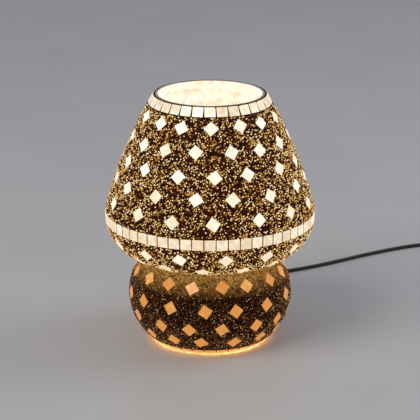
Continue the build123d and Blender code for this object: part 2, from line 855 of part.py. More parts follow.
# The rocker is drawn level, then tilted to its "on" stop about its pin.
rocker_turn = Location(
    (switch_place[0], switch_place[1], rocker_axis), (rocker_tilt, 0, 0)
)
half_rocker = rocker_length / 2
with BuildPart() as switch_rocker:
    with BuildSketch(Plane.YZ.offset(-rocker_width / 2)):
        with BuildLine():
            Polyline(
                (-half_rocker + 0.4, 0.8),
                (-half_rocker + 1.7, 5.8),
                (0, 4.4),
                (half_rocker - 1.7, 5.8),
                (half_rocker - 0.4, 0.8),
                (3.0, -1.8),
                (1.2, -3.4),
                (-1.2, -3.4),
                (-3.0, -1.8),
                close=True,
            )
        make_face()
    extrude(amount=rocker_width)
    with Locations(Location((0, 0, 0), (0, 90, 0))):
        Cylinder(rocker_pin_radius + pin_running_clearance, 2 * rocker_width, mode=Mode.SUBTRACT)
switch_rocker = switch_rocker.part.moved(rocker_turn)
switch_rocker.label = "switch_rocker"
export_step(switch_rocker, "parts/switch_rocker.step")

with BuildPart() as switch_contacts:
    for side in (-1, 1):
        with BuildSketch(switch_plane.offset(switch_wall)):
            with Locations((0, side * 12.0)):
                Rectangle(5, 10)
        extrude(amount=0.6)
switch_contacts.part.label = "switch_contacts"
export_step(switch_contacts.part, "parts/switch_contacts.step")

with BuildPart() as switch_screws:
    with BuildSketch(switch_plane.offset(switch_wall / 2)):
        with Locations(*screw_places):
            Circle(screw_radius)
    extrude(amount=switch_axis + 3)
switch_screws.part.label = "switch_screws"
export_step(switch_screws.part, "parts/switch_screws.step")

# ---------------------------------------------------------------- free cord, coil, tie and plug
on_table = cord_radius + 0.2
lamp_to_switch = [
    tuple(exit_point),
    (0.0, 104.4, on_table),
    (3.0, 121.0, on_table),
    (16.0, 143.0, on_table),
    (44.0, 161.0, on_table),
    (80.0, 173.0, on_table),
    (121.0, 196.0, on_table),
    (162.0, 225.0, on_table),
    (203.0, 250.0, on_table),
    (232.0, 262.0, on_table),
    (257.0, 264.0, on_table),
    (277.0, 255.0, on_table),
    (288.0, 241.0, on_table),
    (291.0, 228.0, 3.6),
    (291.0, 212.5, switch_axis),
    (291.0, switch_end_high - cord_grip, switch_axis),
]
# Four turns on the table, three on them and two on top.
coil_centre = (265.0, 92.0)
coil_radius = 6 * cord_diameter
coil_half_width = 2 * cord_diameter
coil_height = 2.8 * cord_diameter + 0.3
coil_corner = 0.4 * coil_height
switch_to_coil = [
    (291.0, switch_end_low + cord_grip, switch_axis),
    (291.0, 136.0, switch_axis),
    (291.6, 121.0, 3.6),
    (292.4, 106.0, on_table),
    (292.0, 92.0, on_table),
]
plug_axis = plug_height / 2
plug_place = (286.0, 28.0)
plug_back = plug_place[1] + plug_length / 2
coil_to_plug = [
    (288.4, 97.0, 8.4),
    (288.2, 84.0, 8.9),
    (287.0, 71.0, 7.2),
    (plug_place[0], plug_back + plug_neck, plug_axis),
]

for name, route in (
    ("cord_lamp_to_switch", lamp_to_switch),
    ("cord_switch_to_coil", switch_to_coil),
    ("cord_coil_to_plug", coil_to_plug),
):
    tube = cord_tube(route, corner_radii(route))
    tube.label = name
    export_step(tube, f"parts/{name}.step")

with BuildPart() as cord_coil:
    with BuildSketch(Plane.XZ):
        with Locations((coil_radius, coil_height / 2)):
            RectangleRounded(2 * coil_half_width, coil_height, coil_corner)
    revolve(axis=Axis.Z)
cord_coil = cord_coil.part.moved(Location((coil_centre[0], coil_centre[1], 0)))
cord_coil.label = "cord_coil"
export_step(cord_coil, "parts/cord_coil.step")

tie_thickness = 0.8
tie_width = 9.0
with BuildPart() as coil_tie:
    with BuildSketch(Plane.YZ):
        with Locations((-coil_radius, coil_height / 2)):
            RectangleRounded(
                2 * coil_half_width + 2 * tie_thickness,
                coil_height + 2 * tie_thickness,
                coil_corner + tie_thickness,
            )
            RectangleRounded(2 * coil_half_width, coil_height, coil_corner, mode=Mode.SUBTRACT)
    extrude(amount=tie_width / 2, both=True)
    with Locations((0, -coil_radius, 0)):
        Box(beyond, beyond, beyond, align=(Align.CENTER, Align.CENTER, Align.MAX), mode=Mode.SUBTRACT)
tie_space = cord_coil
coil_tie = coil_tie.part.moved(Location((coil_centre[0], coil_centre[1], 0))) - tie_space
coil_tie.label = "coil_tie"
export_step(coil_tie, "parts/coil_tie.step")

plug_face = Plane(
    origin=(plug_place[0], plug_place[1] - plug_length / 2, plug_axis),
    x_dir=(1, 0, 0),
    z_dir=(0, 1, 0),
)
pin_spots = [(side * plug_pin_spacing / 2, 0) for side in (-1, 1)]
pin_depth = 8.0

with BuildPart() as plug_body:
    with BuildSketch(plug_face):
        RectangleRounded(plug_width, plug_height, plug_height / 2 - 0.4)
    extrude(amount=plug_length, taper=6)
    with Locations(plug_face.offset(plug_length).location):
        Cone(plug_height / 2 - 1.8, cord_radius + 0.8, plug_neck, align=lift_from_seat)
    with BuildSketch(plug_face):
        with Locations(*pin_spots):
            Circle(plug_pin_radius)
    extrude(amount=pin_depth, mode=Mode.SUBTRACT)
plug_body.part.label = "plug_body"
export_step(plug_body.part, "parts/plug_body.step")

with BuildPart() as plug_pins:
    with BuildSketch(plug_face.offset(-plug_pin_length)):
        with Locations(*pin_spots):
            Circle(plug_pin_radius)
    extrude(amount=pin_depth + plug_pin_length)
    fillet(plug_pins.edges().filter_by(GeomType.CIRCLE).group_by(Axis.Y)[0], 1.2)
plug_pins.part.label = "plug_pins"
export_step(plug_pins.part, "parts/plug_pins.step")
print("exit", exit_point, exit_plane.z_dir)
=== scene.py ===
"""Looks for the mosaic glass table lamp: lit tiles, beads in grout, flex, plug and studio."""

import math
import random

import bmesh
import bpy
import numpy as np
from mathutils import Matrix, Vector, noise
from mathutils.bvhtree import BVHTree


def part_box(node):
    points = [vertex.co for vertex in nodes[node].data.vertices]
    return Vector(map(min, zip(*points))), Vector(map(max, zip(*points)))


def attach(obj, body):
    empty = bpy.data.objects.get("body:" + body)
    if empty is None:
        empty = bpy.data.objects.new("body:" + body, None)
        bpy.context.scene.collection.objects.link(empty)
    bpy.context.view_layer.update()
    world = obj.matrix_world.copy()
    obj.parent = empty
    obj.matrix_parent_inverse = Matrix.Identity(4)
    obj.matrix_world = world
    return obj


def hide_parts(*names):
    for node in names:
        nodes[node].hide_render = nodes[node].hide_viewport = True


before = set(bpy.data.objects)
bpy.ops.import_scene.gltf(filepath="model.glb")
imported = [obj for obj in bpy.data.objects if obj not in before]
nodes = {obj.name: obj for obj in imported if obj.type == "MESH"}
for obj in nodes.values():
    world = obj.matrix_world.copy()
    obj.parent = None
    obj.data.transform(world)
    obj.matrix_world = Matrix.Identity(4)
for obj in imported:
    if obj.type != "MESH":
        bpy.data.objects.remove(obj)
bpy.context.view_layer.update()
MM = 0.001
rng = random.Random(7)


# ---------------------------------------------------------------- camera and light
VIEW_PITCH = math.radians(17.42)
VIEW_DISTANCE = 1.768
VIEW_HEIGHT = 0.1229
VIEW_LENS = 162.7
SENSOR = 36.0


def make_camera():
    """Looks along +Y from above the horizon, as a person at the table does."""
    data = bpy.data.cameras.new("camera")
    data.sensor_width = SENSOR
    data.lens = VIEW_LENS
    data.clip_end = 30
    camera = bpy.data.objects.new("camera", data)
    bpy.context.scene.collection.objects.link(camera)
    back = Vector((0, -math.cos(VIEW_PITCH), math.sin(VIEW_PITCH)))
    camera.location = Vector((0, 0, VIEW_HEIGHT)) + back * VIEW_DISTANCE
    camera.rotation_euler = (-back).to_track_quat("-Z", "Y").to_euler()
    bpy.context.scene.camera = camera


def area_light(name, place, size, power, colour, target=(0, 0, 0.1)):
    """Soft studio light that faces its target."""
    data = bpy.data.lights.new(name, "AREA")
    data.shape = "DISK"
    data.size = size
    data.energy = power
    data.color = colour
    light = bpy.data.objects.new(name, data)
    light.location = place
    light.rotation_euler = (Vector(target) - Vector(place)).to_track_quat("-Z", "Y").to_euler()
    bpy.context.scene.collection.objects.link(light)


def make_studio():
    """Pale floor, dim soft light from above and a low even background."""
    world = bpy.data.worlds.new("studio")
    world.use_nodes = True
    background = world.node_tree.nodes["Background"]
    background.inputs["Color"].default_value = (0.80, 0.85, 1.0, 1)
    background.inputs["Strength"].default_value = 0.28
    bpy.context.scene.world = world
    bpy.context.scene.view_settings.view_transform = "Standard"
    area_light("key", (-1.3, -1.2, 2.0), 1.6, 22.0, (1.0, 0.96, 0.90))
    area_light("fill", (1.6, 0.4, 1.4), 1.4, 8.0, (0.86, 0.92, 1.0))


# ---------------------------------------------------------------- materials
def new_material(name, colour, roughness, metallic=0.0):
    """Principled material, its tree and its shader."""
    material = bpy.data.materials.new(name)
    material.use_nodes = True
    tree = material.node_tree
    shader = tree.nodes["Principled BSDF"]
    shader.inputs["Base Color"].default_value = (*colour, 1)
    shader.inputs["Roughness"].default_value = roughness
    shader.inputs["Metallic"].default_value = metallic
    return material, tree, shader


def add_node(tree, kind, **values):
    """New node with these properties, or input defaults where the name is an input's."""
    node = tree.nodes.new(kind)
    for key, value in values.items():
        if key in node.inputs:
            node.inputs[key].default_value = value
        else:
            setattr(node, key, value)
    return node


def noise_of(tree, scale, detail=3.0, rough=0.55):
    """Noise in the object's own space, where one unit is a metre."""
    place = add_node(tree, "ShaderNodeTexCoord")
    texture = add_node(tree, "ShaderNodeTexNoise", Scale=scale, Detail=detail, Roughness=rough)
    tree.links.new(place.outputs["Object"], texture.inputs["Vector"])
    return texture


def ramp(tree, source, stops):
    """Colour ramp from (position, colour) stops."""
    node = add_node(tree, "ShaderNodeValToRGB")
    elements = node.color_ramp.elements
    while len(elements) < len(stops):
        elements.new(0.5)
    for element, (position, colour) in zip(elements, stops):
        element.position = position
        element.color = (*colour, 1)
    tree.links.new(source, node.inputs["Fac"])
    return node


def add_bump(tree, shader, source, strength, distance):
    """Bump from a height output."""
    bump = add_node(tree, "ShaderNodeBump", Strength=strength, Distance=distance)
    tree.links.new(source, bump.inputs["Height"])
    tree.links.new(bump.outputs["Normal"], shader.inputs["Normal"])


def vary_roughness(tree, shader, source, low, high):
    """Roughness that wanders between two values."""
    spread = add_node(tree, "ShaderNodeMapRange")
    spread.inputs["To Min"].default_value = low
    spread.inputs["To Max"].default_value = high
    tree.links.new(source, spread.inputs["Value"])
    tree.links.new(spread.outputs["Result"], shader.inputs["Roughness"])


def plain_part(name, dark, light, roughness, metallic=0.0, scale=900.0, grain=0.00005):
    """Moulded, metal or rubber part: slow colour drift, uneven gloss and a fine grain."""
    material, tree, shader = new_material(name, light, roughness, metallic)
    drift = noise_of(tree, scale * 0.12)
    colours = ramp(tree, drift.outputs["Fac"], [(0.3, dark), (0.7, light)])
    tree.links.new(colours.outputs["Color"], shader.inputs["Base Color"])
    fine = noise_of(tree, scale)
    vary_roughness(tree, shader, fine.outputs["Fac"], roughness * 0.8, min(1.0, roughness * 1.25))
    add_bump(tree, shader, fine.outputs["Fac"], 0.35, grain)
    return material


def inward_mask(tree):
    """1 where a surface faces the lamp's axis, 0 where it faces out."""
    geometry = add_node(tree, "ShaderNodeNewGeometry")
    flat = add_node(tree, "ShaderNodeVectorMath", operation="MULTIPLY")
    flat.inputs[1].default_value = (1, 1, 0)
    tree.links.new(geometry.outputs["Position"], flat.inputs[0])
    radial = add_node(tree, "ShaderNodeVectorMath", operation="NORMALIZE")
    tree.links.new(flat.outputs["Vector"], radial.inputs[0])
    facing = add_node(tree, "ShaderNodeVectorMath", operation="DOT_PRODUCT")
    tree.links.new(geometry.outputs["Normal"], facing.inputs[0])
    tree.links.new(radial.outputs["Vector"], facing.inputs[1])
    inside = add_node(tree, "ShaderNodeMath", operation="LESS_THAN")
    inside.inputs[1].default_value = -0.02
    tree.links.new(facing.outputs["Value"], inside.inputs[0])
    return inside.outputs["Value"]


def mix_colour(tree, factor, first, second):
    """Colour between two sources, each a socket or a constant."""
    mix = add_node(tree, "ShaderNodeMix", data_type="RGBA")
    tree.links.new(factor, mix.inputs["Factor"])
    for source, socket in ((first, mix.inputs[6]), (second, mix.inputs[7])):
        if isinstance(source, tuple):
            socket.default_value = (*source, 1)
        else:
            tree.links.new(source, socket)
    return mix.outputs[2]


def glass_body_material():
    """Clear blown glass whose lit inner face glows warm white, with faint darker blotches."""
    material, tree, shader = new_material("body_glass", (0.30, 0.26, 0.22), 0.06)
    shader.inputs["IOR"].default_value = 1.5
    shader.inputs["Transmission Weight"].default_value = 0.55
    blotches = noise_of(tree, 130.0, 5.0, 0.65)
    glow = ramp(
        tree,
        blotches.outputs["Fac"],
        [(0.33, (0.80, 0.56, 0.40)), (0.45, (0.92, 0.75, 0.57)), (0.57, (1.0, 0.89, 0.74))],
    )
    lit = mix_colour(tree, inward_mask(tree), (0.0, 0.0, 0.0), glow.outputs["Color"])
    tree.links.new(lit, shader.inputs["Emission Color"])
    shader.inputs["Emission Strength"].default_value = 0.80
    ripple = noise_of(tree, 55.0, 2.0)
    add_bump(tree, shader, ripple.outputs["Fac"], 0.25, 0.0008)
    return material


def height_share(tree, none_at, full_at):
    """0 at one height of the lamp, in millimetres, and 1 at the other."""
    place = add_node(tree, "ShaderNodeTexCoord")
    split = add_node(tree, "ShaderNodeSeparateXYZ")
    tree.links.new(place.outputs["Object"], split.inputs["Vector"])
    share = add_node(tree, "ShaderNodeMapRange")
    share.inputs["From Min"].default_value = none_at * MM
    share.inputs["From Max"].default_value = full_at * MM
    tree.links.new(split.outputs["Z"], share.inputs["Value"])
    return share.outputs["Result"]


def grout_material(name, dark, light, glow, strength, lit_from, lit_to):
    """Cement grout: near black and sandy, with painted light that grows from one height to another.
    """
    material, tree, shader = new_material(name, dark, 0.5)
    shader.inputs["Specular IOR Level"].default_value = 0.05
    cloud = noise_of(tree, 260.0, 4.0, 0.65)
    outer = ramp(tree, cloud.outputs["Fac"], [(0.35, dark), (0.70, light)])
    inside = inward_mask(tree)
    colour = mix_colour(tree, inside, outer.outputs["Color"], (0.62, 0.45, 0.26))
    tree.links.new(colour, shader.inputs["Base Color"])
    # Painted light: a cloudy glow that fades in between two heights; each grout's call below says
    # what light it stands for.
    painted_glow = ramp(tree, cloud.outputs["Fac"], [(0.30, (0, 0, 0)), (0.70, glow)])
    height = height_share(tree, lit_from, lit_to)
    lit = mix_colour(tree, height, (0.0, 0.0, 0.0), painted_glow.outputs["Color"])
    tree.links.new(lit, shader.inputs["Emission Color"])
    shader.inputs["Emission Strength"].default_value = strength
    sand = noise_of(tree, 1500.0, 2.0)
    vary_roughness(tree, shader, sand.outputs["Fac"], 0.30, 0.60)
    add_bump(tree, shader, sand.outputs["Fac"], 0.6, 0.0003)
    return material


def tile_material(name, cool, warm, hot, strength):
    """Opal glass tile lit from behind: soft mottling, a glow per tile that is painted light fading
    with distance from the bulb, a glossy face.
    """
    material, tree, shader = new_material(name, warm, 0.18)
    shader.inputs["Coat Weight"].default_value = 0.4
    shader.inputs["Coat Roughness"].default_value = 0.08
    level = add_node(tree, "ShaderNodeAttribute", attribute_name="tile_level")
    mottle = noise_of(tree, 230.0, 3.0, 0.5)
    blend = add_node(tree, "ShaderNodeMath", operation="MULTIPLY_ADD")
    blend.inputs[1].default_value = 1.0
    tree.links.new(mottle.outputs["Fac"], blend.inputs[0])
    tree.links.new(level.outputs["Fac"], blend.inputs[2])
    colours = ramp(
        tree, blend.outputs["Value"], [(0.40, cool), (0.66, warm), (0.96, hot)]
    )
    tree.links.new(colours.outputs["Color"], shader.inputs["Emission Color"])
    shader.inputs["Emission Strength"].default_value = strength
    dim = add_node(tree, "ShaderNodeVectorMath", operation="SCALE", Scale=0.3)
    tree.links.new(colours.outputs["Color"], dim.inputs[0])
    tree.links.new(dim.outputs["Vector"], shader.inputs["Base Color"])
    wave = noise_of(tree, 320.0, 2.0)
    add_bump(tree, shader, wave.outputs["Fac"], 0.3, 0.0004)
    return material


def glow_material(name, colour, emission, strength, roughness=0.12):
    """One brightness of glass bead."""
    material, _, shader = new_material(name, colour, roughness)
    shader.inputs["Emission Color"].default_value = (*emission, 1)
    shader.inputs["Emission Strength"].default_value = strength
    shader.inputs["Specular IOR Level"].default_value = 0.2
    return material


def clear_glass(name, tint, roughness, glow, strength):
    """Thin clear or frosted glass with a little light of its own."""
    material, tree, shader = new_material(name, tint, roughness)
    shader.inputs["IOR"].default_value = 1.45
    shader.inputs["Transmission Weight"].default_value = 0.9
    shader.inputs["Emission Color"].default_value = (*glow, 1)
    shader.inputs["Emission Strength"].default_value = strength
    ripple = noise_of(tree, 120.0, 2.0)
    add_bump(tree, shader, ripple.outputs["Fac"], 0.1, 0.0003)
    return material


def woven_material(name, dark, light):
    """Woven strap: crossed waves at thread scale."""
    material, tree, shader = new_material(name, light, 0.8)
    place = add_node(tree, "ShaderNodeTexCoord")
    waves = []
    for direction in ("X", "Z"):
        wave = add_node(
            tree, "ShaderNodeTexWave", bands_direction=direction, Scale=420.0, Distortion=0.6
        )
        tree.links.new(place.outputs["Object"], wave.inputs["Vector"])
        waves.append(wave.outputs["Fac"])
    cross = add_node(tree, "ShaderNodeMath", operation="MULTIPLY")
    tree.links.new(waves[0], cross.inputs[0])
    tree.links.new(waves[1], cross.inputs[1])
    colours = ramp(tree, cross.outputs["Value"], [(0.0, dark), (0.8, light)])
    tree.links.new(colours.outputs["Color"], shader.inputs["Base Color"])
    add_bump(tree, shader, cross.outputs["Value"], 0.6, 0.0003)
    return material


def floor_material():
    """Plain pale table top."""
    material, tree, shader = new_material("pale_floor", (0.74, 0.72, 0.69), 0.45)
    cloud = noise_of(tree, 6.0, 3.0)
    colours = ramp(
        tree, cloud.outputs["Fac"], [(0.3, (0.72, 0.70, 0.67)), (0.7, (0.76, 0.74, 0.71))]
    )
    tree.links.new(colours.outputs["Color"], shader.inputs["Base Color"])
    vary_roughness(tree, shader, cloud.outputs["Fac"], 0.34, 0.46)
    return material


def dress(material, *names):
    """Gives CAD nodes a material."""
    for name in names:
        data = nodes[name].data
        data.materials.clear()
        data.materials.append(material)


# ---------------------------------------------------------------- meshes
def make_piece(name, vertices, faces, materials, indices=None, smooth=True, levels=None):
    """Mesh object from lists, with a material index and a smooth flag for each face."""
    mesh = bpy.data.meshes.new(name)
    mesh.from_pydata(vertices, [], faces)
    for material in materials:
        mesh.materials.append(material)
    if indices is not None:
        mesh.polygons.foreach_set("material_index", indices)
    mesh.polygons.foreach_set("use_smooth", [smooth] * len(mesh.polygons))
    if levels is not None:
        attribute = mesh.attributes.new("tile_level", "FLOAT", "POINT")
        attribute.data.foreach_set("value", levels)
    mesh.update()
    piece = bpy.data.objects.new(name, mesh)
    bpy.context.scene.collection.objects.link(piece)
    return piece


def islands(node):
    """The vertices of each separate solid in a CAD node, as lists of places."""
    mesh = bmesh.new()
    mesh.from_mesh(nodes[node].data)
    bmesh.ops.remove_doubles(mesh, verts=mesh.verts, dist=0.01 * MM)
    left = set(mesh.verts)
    found = []
    while left:
        start = left.pop()
        group, queue = [start], [start]
        while queue:
            for edge in queue.pop().link_edges:
                for vertex in edge.verts:
                    if vertex in left:
                        left.remove(vertex)
                        group.append(vertex)
                        queue.append(vertex)
        places = [vertex.co.copy() for vertex in group]
        found.append(sorted(places, key=lambda place: [round(part, 6) for part in place.zyx]))
    mesh.free()
    return sorted(found, key=turn_of)


def turn_of(places):
    """Azimuth of a tile's centre, counted from a bearing that no tile is centred on."""
    centre = sum(places, Vector())
    return (math.atan2(centre.y, centre.x) + 1.0) % (2 * math.pi)


def tile_frame(corners):
    """Centre, outward normal, two in-plane axes and half sizes of one square tile."""
    centre = sum(corners, Vector()) / len(corners)
    start = corners[0]
    others = sorted(
        corners[1:], key=lambda corner: (round((corner - start).length, 5), corner.z, corner.x)
    )
    edges = [others[0] - start]
    for other in others[1:]:
        edge = other - start
        if all(abs(edge.dot(known)) < 0.02 * edge.length * known.length for known in edges):
            edges.append(edge)
        if len(edges) == 3:
            break
    thin = min(edges, key=lambda edge: edge.length)
    wide = [edge for edge in edges if edge is not thin]
    normal = thin.normalized()
    outward = Vector((centre.x, centre.y, 0)).normalized()
    if normal.dot(outward) < 0:
        normal = -normal
    across, up = wide[0].normalized(), normal.cross(wide[0].normalized())
    return centre, normal, across, up, wide[0].length / 2, wide[1].length / 2, thin.length / 2


BULB = Vector((0, 0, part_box("bulb_filament")[1].z))
BRIGHT_REACH = 0.10  # metres from the bulb at which a tile has its middle brightness
DIMMING = 6.0  # brightness lost for each metre further out
TILE_EASE = 0.3 * MM


def tile_pieces(node, materials, slot, wander, chips):
    """Hand-cut tiles for one CAD node: uneven outlines, eased edges, a few chipped corners."""
    vertices, faces, indices, levels = [], [], [], []
    for corners in islands(node):
        centre, normal, across, up, half_x, half_y, half_z = tile_frame(corners)
        outline = []
        for sign_x, sign_y in ((1, 1), (-1, 1), (-1, -1), (1, -1)):
            chip = rng.uniform(0.16, 0.30) if rng.random() < chips else rng.uniform(0.02, 0.06)
            x = sign_x * half_x * (1 + rng.uniform(-wander, wander * 0.35))
            y = sign_y * half_y * (1 + rng.uniform(-wander, wander * 0.35))
            along_y = (x, y - sign_y * half_y * chip)
            along_x = (x - sign_x * half_x * chip, y)
            outline += [along_y, along_x] if sign_x == sign_y else [along_x, along_y]
        # Painted light: each tile glows brighter the nearer it sits to the bulb and dimmer further
        # out, with a random spread.
        level = rng.uniform(-0.10, 0.22) + (BRIGHT_REACH - (centre - BULB).length) * DIMMING
        ease = TILE_EASE
        rings = [
            (-half_z, 0.0),
            (half_z - ease, 0.0),
            (half_z - ease * 0.3, ease * 0.4),
            (half_z, ease),
        ]
        first = len(vertices)
        for height, inset in rings:
            for x, y in outline:
                shrink_x, shrink_y = 1 - inset / half_x, 1 - inset / half_y
                place = centre + across * x * shrink_x + up * y * shrink_y + normal * height
                vertices.append(place)
                levels.append(level)
        count = len(outline)
        for ring in range(len(rings) - 1):
            for corner in range(count):
                a = first + ring * count + corner
                b = first + ring * count + (corner + 1) % count
                faces.append((a, b, b + count, a + count))
                indices.append(1 if ring == 0 else 0)
        top = first + (len(rings) - 1) * count
        faces.append(tuple(range(top, top + count)))
        indices.append(0)
        faces.append(tuple(reversed(range(first, first + count))))
        indices.append(0)
    piece = make_piece(
        f"{node}_cut", vertices, faces, materials, indices, smooth=False, levels=levels
    )
    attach(piece, "root")
    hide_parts(node)


def surface_tree(*names):
    """One search tree over the surfaces of several CAD nodes."""
    vertices, faces = [], []
    for name in names:
        mesh = nodes[name].data
        first = len(vertices)
        vertices += [vertex.co for vertex in mesh.vertices]
        faces += [[first + index for index in face.vertices] for face in mesh.polygons]
    return BVHTree.FromPolygons(vertices, faces)


BEADED_FACE_OFF_GLASS = 1.15 * MM


def outer_skin(coat, glass):
    """Triangles of a coat's beaded face, which is the one that stands off the glass."""
    mesh = nodes[coat].data
    mesh.calc_loop_triangles()
    places = [vertex.co for vertex in mesh.vertices]
    skin = []
    for triangle in mesh.loop_triangles:
        a, b, c = (places[index] for index in triangle.vertices)
        away = min(glass.find_nearest((a + b + c) / 3)[3], glass.find_nearest((a + b) / 2)[3])
        if away > BEADED_FACE_OFF_GLASS:
            skin.append((a, b, c))
    return skin


def scatter(skin, spacing, tries):
    """Places on the skin, none nearer to another than the spacing."""
    areas = np.array([(b - a).cross(c - a).length / 2 for a, b, c in skin])
    corners = np.array([[tuple(a), tuple(b), tuple(c)] for a, b, c in skin])
    draw = np.random.default_rng(11)
    count = int(tries * areas.sum() / spacing**2)
    chosen = draw.choice(len(skin), count, p=areas / areas.sum())
    u, v = draw.random(count), draw.random(count)
    flip = u + v > 1
    u[flip], v[flip] = 1 - u[flip], 1 - v[flip]
    spots = corners[chosen]
    along, across = spots[:, 1] - spots[:, 0], spots[:, 2] - spots[:, 0]
    points = spots[:, 0] + u[:, None] * along + v[:, None] * across
    cells = np.floor(points / spacing).astype(int)
    kept, grid = [], {}
    near = [(i, j, k) for i in (-1, 0, 1) for j in (-1, 0, 1) for k in (-1, 0, 1)]
    limit = spacing * spacing
    for (x, y, z), (i, j, k) in zip(points.tolist(), cells.tolist()):
        free = True
        for di, dj, dk in near:
            for px, py, pz in grid.get((i + di, j + dj, k + dk), ()):
                if (px - x) ** 2 + (py - y) ** 2 + (pz - z) ** 2 < limit:
                    free = False
                    break
            if not free:
                break
        if free:
            grid.setdefault((i, j, k), []).append((x, y, z))
            kept.append(Vector((x, y, z)))
    return kept


def bead_level(place, shares, drift):
    """Which brightness a bead has: chance, pushed up or down by slow clouds over the glass, and
    pushed up by painted light near the foot and on the base's shoulder.
    """
    slow = noise.noise(place * 55.0)
    fast = noise.noise(place * 340.0 + Vector((9, 4, 2)))
    cloud = slow * drift + fast * 5 * drift
    height = place.z / MM
    # Painted light: beads low on the base and on its shoulder are pushed brighter, the shoulder's
    # as the light cast on it by the shade's underside.
    foot = max(0.0, 0.22 * (1 - height / 35))
    shoulder = 0.35 * max(0.0, min(1.0, (height - 62) / 12)) if height < 80 else 0
    chance = min(0.999, max(0.0, rng.random() + cloud + (foot + shoulder)))
    total = 0.0
    for level, share in enumerate(shares):
        total += share
        if chance < total:
            return level
    return len(shares) - 1


BEAD_SIDES = 6


def bead_pieces(coat, glass, materials, shares, parts, spacing, sizes, drift):
    """Glass beads half sunk in a coat's grout, split into a few pieces round the lamp."""
    beads = scatter(outer_skin(coat, glass), spacing, 7)
    groups = [[] for _ in range(parts)]
    for place in beads:
        turn = (math.atan2(place.y, place.x) / (2 * math.pi) + 0.5) % 1.0
        groups[min(parts - 1, int(turn * parts))].append(place)
    rings = [(1.0, -0.15), (0.80, 0.55)]
    for number, group in enumerate(groups, 1):
        vertices, faces, indices = [], [], []
        for place in group:
            near = glass.find_nearest(place)[0]
            normal = (place - near).normalized()
            size = rng.uniform(*sizes)
            across = normal.orthogonal().normalized()
            up = normal.cross(across)
            twist = rng.uniform(0, math.pi)
            stretch = rng.uniform(0.85, 1.2)
            first = len(vertices)
            for reach, height in rings:
                for side in range(BEAD_SIDES):
                    angle = twist + 2 * math.pi * side / BEAD_SIDES
                    vertices.append(
                        place
                        + across * math.cos(angle) * size * reach * stretch
                        + up * math.sin(angle) * size * reach / stretch
                        + normal * height * size
                    )
            vertices.append(place + normal * 0.86 * size)
            level = bead_level(place, shares, drift)
            for side in range(BEAD_SIDES):
                after = (side + 1) % BEAD_SIDES
                upper = first + BEAD_SIDES
                faces.append((first + side, first + after, upper + after, upper + side))
                faces.append((upper + side, upper + after, first + 2 * BEAD_SIDES))
                indices += [level, level]
        piece = make_piece(f"{coat}_beads_{number}", vertices, faces, materials, indices)
        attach(piece, "root")


# ---------------------------------------------------------------- flex
CORD_DIAMETER = 3.6 * MM
ON_TABLE = 2.0
SWITCH_AXIS = 8.0
COIL_CENTRE = (265.0, 92.0)
COIL_RADIUS = 21.6
PLUG_AXIS = 6.9

to_switch = [
    (0.0, 89.63, 9.68),
    (0.0, 104.4, ON_TABLE),
    (3.0, 121.0, ON_TABLE),
    (16.0, 143.0, ON_TABLE),
    (44.0, 161.0, ON_TABLE),
    (80.0, 173.0, ON_TABLE),
    (121.0, 196.0, ON_TABLE),
    (162.0, 225.0, ON_TABLE),
    (203.0, 250.0, ON_TABLE),
    (232.0, 262.0, ON_TABLE),
    (257.0, 264.0, ON_TABLE),
    (277.0, 255.0, ON_TABLE),
    (288.0, 241.0, ON_TABLE),
    (291.0, 228.0, 3.6),
    (291.0, 212.5, SWITCH_AXIS),
    (291.0, 197.0, SWITCH_AXIS),
]
to_coil = [
    (291.0, 151.0, SWITCH_AXIS),
    (291.0, 136.0, SWITCH_AXIS),
    (291.6, 121.0, 3.6),
    (292.4, 106.0, ON_TABLE),
]
to_plug = [
    (288.2, 84.0, 8.9),
    (287.0, 71.0, 7.2),
    (286.0, 58.0, PLUG_AXIS),
]


def coil_turns():
    """Nine turns, clockwise from above: four on the table, three on them and two on top."""
    pitch = CORD_DIAMETER / MM
    low, middle, high = ON_TABLE, ON_TABLE + 0.87 * pitch, ON_TABLE + 1.73 * pitch
    turns = [
        (1.5, low), (0.5, low), (-0.5, low), (-1.5, low),
        (-1.0, middle), (0.0, middle), (1.0, middle),
        (-0.5, high), (0.5, high),
    ]
    points = []
    per_turn = 16
    for turn, (reach, height) in enumerate(turns):
        after_reach, after_height = turns[min(turn + 1, len(turns) - 1)]
        for step in range(per_turn):
            share = step / per_turn
            slide = max(0.0, (share - 0.7) / 0.3)
            angle = -2 * math.pi * share
            radius = (COIL_RADIUS + (reach + (after_reach - reach) * slide) * pitch) * 1.018
            x = COIL_CENTRE[0] + radius * math.cos(angle)
            y = COIL_CENTRE[1] + radius * math.sin(angle)
            points.append((x, y, height + (after_height - height) * slide))
    return points


def make_cord(material):
    """The whole free lead on one smooth line: lamp, switch, coil and plug."""
    points = to_switch + to_coil + coil_turns() + to_plug
    data = bpy.data.curves.new("lead", "CURVE")
    data.dimensions = "3D"
    spline = data.splines.new("NURBS")
    spline.points.add(len(points) - 1)
    for target, point in zip(spline.points, points):
        target.co = (point[0] * MM, point[1] * MM, point[2] * MM, 1)
    spline.order_u = 3
    spline.use_endpoint_u = True
    spline.resolution_u = 8
    data.bevel_depth = CORD_DIAMETER / 2
    data.bevel_resolution = 5
    data.use_fill_caps = True
    data.materials.append(material)
    lead = bpy.data.objects.new("lead", data)
    bpy.context.scene.collection.objects.link(lead)
    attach(lead, "root")
    stood_for = ["cord_lamp_to_switch", "cord_switch_to_coil", "cord_coil", "cord_coil_to_plug"]
    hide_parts(*stood_for)


# ---------------------------------------------------------------- the scene
make_camera()
make_studio()

bpy.ops.mesh.primitive_plane_add(size=12, location=(0, 0, 0))
floor = bpy.context.object
floor.name = "floor"
floor.data.materials.append(floor_material())

flex = plain_part("flex_sheath", (0.010, 0.009, 0.008), (0.028, 0.025, 0.022), 0.42, scale=700.0)
make_cord(flex)

